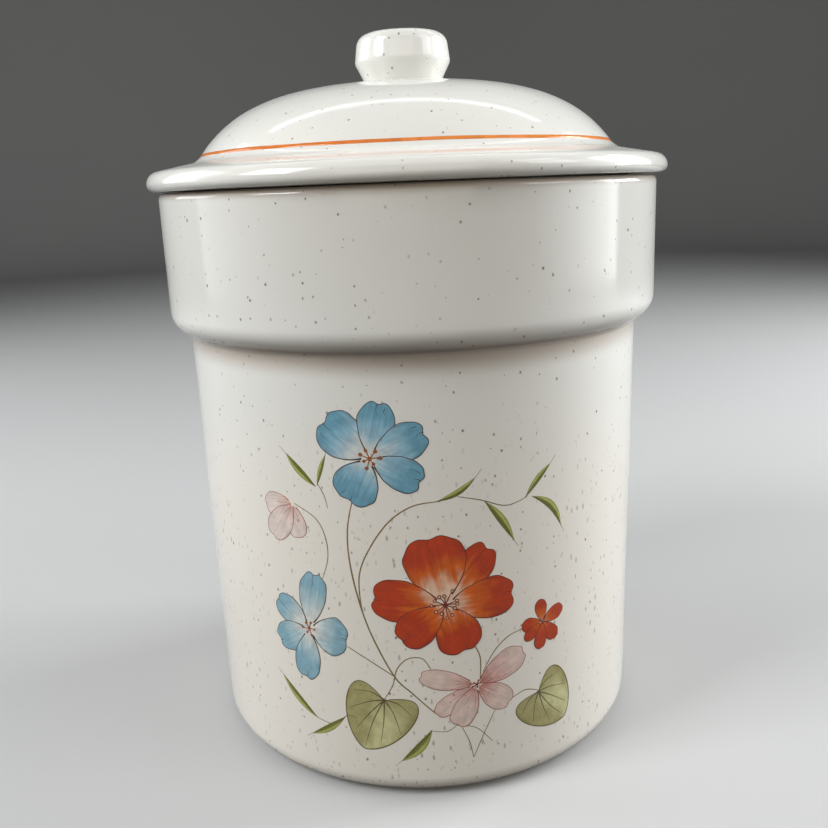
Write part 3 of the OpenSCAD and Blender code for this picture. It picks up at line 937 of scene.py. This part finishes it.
def make_light():
    """Soft daylight on both sides, windows above and behind it, a strip overhead, and warm light in front."""
    window = {"columns": 2, "rows": 2, "pane": 0.92}
    softbox("left_low", (-1.2, -0.25, 0.45), 1.1, 0.9, 2.2, columns=6, fade=-0.95)
    softbox("left_window", (-0.9, -0.5, 0.9), 0.5, 0.7, 12.3, **window)
    softbox("left_rear", (-1.1, 0.35, 0.6), 0.6, 0.8, 5.6)
    softbox("right_low", (1.2, -0.25, 0.45), 1.1, 0.9, 7.2, columns=6, fade=0.95)
    softbox("right_window", (0.95, -0.45, 0.9), 0.5, 0.7, 3.4, **window)
    softbox("right_rear", (1.1, 0.35, 0.6), 0.6, 0.8, 14.2, **window)
    softbox("overhead_strip", (0, 0.52, 1.2), 1.6, 0.07, 1.5)
    softbox("overhead", (0, -0.55, 1.2), 0.9, 0.5, 1.0)
    softbox("front", (0, -2.0, 0.75), 2.2, 1.2, 11.5, (1.0, 0.90, 0.77))
    world = bpy.data.worlds.new("studio_world")
    world.use_nodes = True
    world.node_tree.nodes["Background"].inputs["Color"].default_value = (0.95, 0.97, 1.0, 1)
    world.node_tree.nodes["Background"].inputs["Strength"].default_value = 0.01
    bpy.context.scene.world = world
    bpy.context.scene.view_settings.view_transform = "Standard"


# --- Making ---------------------------------------------------------------------------------------------

glaze = glaze_material()
make_jar(glaze, clay_material())
make_lid(glaze)
make_knob(glaze)
make_band(wash_material("band_enamel", (0.74, 0.24, 0.055, 1), (0.72, 0.22, 0.05, 1), (0.66, 0.19, 0.04, 1)))
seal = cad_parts["lid_seal"]
seal.data.materials.clear()
seal.data.materials.append(seal_material())

BLUE_PALE = (0.70, 0.71, 0.68, 1)
blue_wash = wash_material("blue_enamel", BLUE_PALE, (0.27, 0.47, 0.59, 1), (0.14, 0.34, 0.46, 1))
soft_blue_wash = wash_material("soft_blue_enamel", BLUE_PALE, (0.40, 0.55, 0.60, 1), (0.24, 0.43, 0.53, 1),
                               base_to=0.34)
orange_wash = wash_material("orange_enamel", (0.80, 0.60, 0.44, 1), (0.64, 0.115, 0.0, 1),
                            (0.47, 0.038, 0.0, 1), tip_from=0.62)
small_orange_wash = wash_material("small_orange_enamel", (0.70, 0.30, 0.16, 1), (0.58, 0.09, 0.0, 1),
                                  (0.46, 0.038, 0.0, 1), base_to=0.12, tip_from=0.6)
pink_wash = wash_material("pink_enamel", (0.56, 0.22, 0.18, 1), (0.71, 0.47, 0.43, 1), (0.73, 0.57, 0.51, 1),
                          base_to=0.1, tip_from=0.6)
bud_wash = wash_material("bud_enamel", (0.66, 0.40, 0.34, 1), (0.73, 0.57, 0.52, 1), (0.75, 0.65, 0.60, 1),
                         base_to=0.1, tip_from=0.6)
leaf_green = leaf_material("leaf_enamel", (0.60, 0.59, 0.31, 1), (0.29, 0.25, 0.08, 1), split=0.7)
blade_green = leaf_material("blade_enamel", (0.42, 0.44, 0.11, 1), (0.13, 0.15, 0.015, 1), split=1.0)
blue_line = line_material("blue_line", (0.055, 0.045, 0.045, 1), (0.055, 0.05, 0.05, 1))
orange_line = line_material("orange_line", (0.12, 0.012, 0.004, 1), (0.10, 0.012, 0.004, 1), fade=0.0)
pink_line = line_material("pink_line", (0.30, 0.09, 0.07, 1), (0.34, 0.15, 0.13, 1))
leaf_line = line_material("leaf_line", (0.10, 0.08, 0.025, 1), (0.13, 0.11, 0.04, 1))
stem_line = line_material("stem_line", (0.22, 0.125, 0.035, 1), (0.16, 0.14, 0.04, 1))
stamen_line = line_material("stamen_line", (0.27, 0.085, 0.02, 1), (0.33, 0.11, 0.03, 1), fade=0.0)
anther_line = line_material("anther_line", (0.16, 0.02, 0.004, 1), (0.20, 0.03, 0.008, 1), fade=0.0)
anther_eye = line_material("anther_eye", (0.72, 0.50, 0.38, 1), (0.72, 0.50, 0.38, 1))

paint_stems(stem_line)
paint_blades(blade_green, leaf_line)
paint_leaf("left_broad_leaf", (-13.5, 35.6), -112, 19.5, 11.6, leaf_green, leaf_line)
paint_leaf("right_broad_leaf", (36.8, 31.8), -50, 17, 10.5, leaf_green, leaf_line)
paint_flower("large_blue", blue_wash, blue_line, "blue_enamel", 0.4, tip_creases, 2)
paint_flower("small_blue", soft_blue_wash, blue_line, "blue_enamel", 0.36, tip_creases, 1)
paint_flower("large_orange", orange_wash, orange_line, "orange_enamel", 0.38, tip_creases, 1)
paint_flower("small_orange", small_orange_wash, orange_line, "orange_enamel", 0.26, tip_creases, 0)
paint_flower("pink", pink_wash, pink_line, "pink_enamel", 0.34, base_creases, 4)
paint_flower("pink_bud", bud_wash, pink_line, "pink_enamel", 0.26, base_creases, 2)
paint_stamens("large_blue_stamens", FLOWERS["large_blue"][0], 7, 2.7, 0.62, stamen_line, "orange_enamel")
paint_stamens("small_blue_stamens", FLOWERS["small_blue"][0], 6, 2.1, 0.48, stamen_line, "orange_enamel")
paint_stamens("large_orange_stamens", FLOWERS["large_orange"][0], 12, 3.9, 0.66, anther_line, "orange_enamel",
              anther_eye)
paint_stamens("small_orange_stamens", FLOWERS["small_orange"][0], 5, 0.9, 0.3, anther_line, "orange_enamel")
paint_stamens("pink_stamens", FLOWERS["pink"][0], 5, 1.5, 0.3, anther_line, "pink_enamel")

make_camera()
make_studio()
make_light()
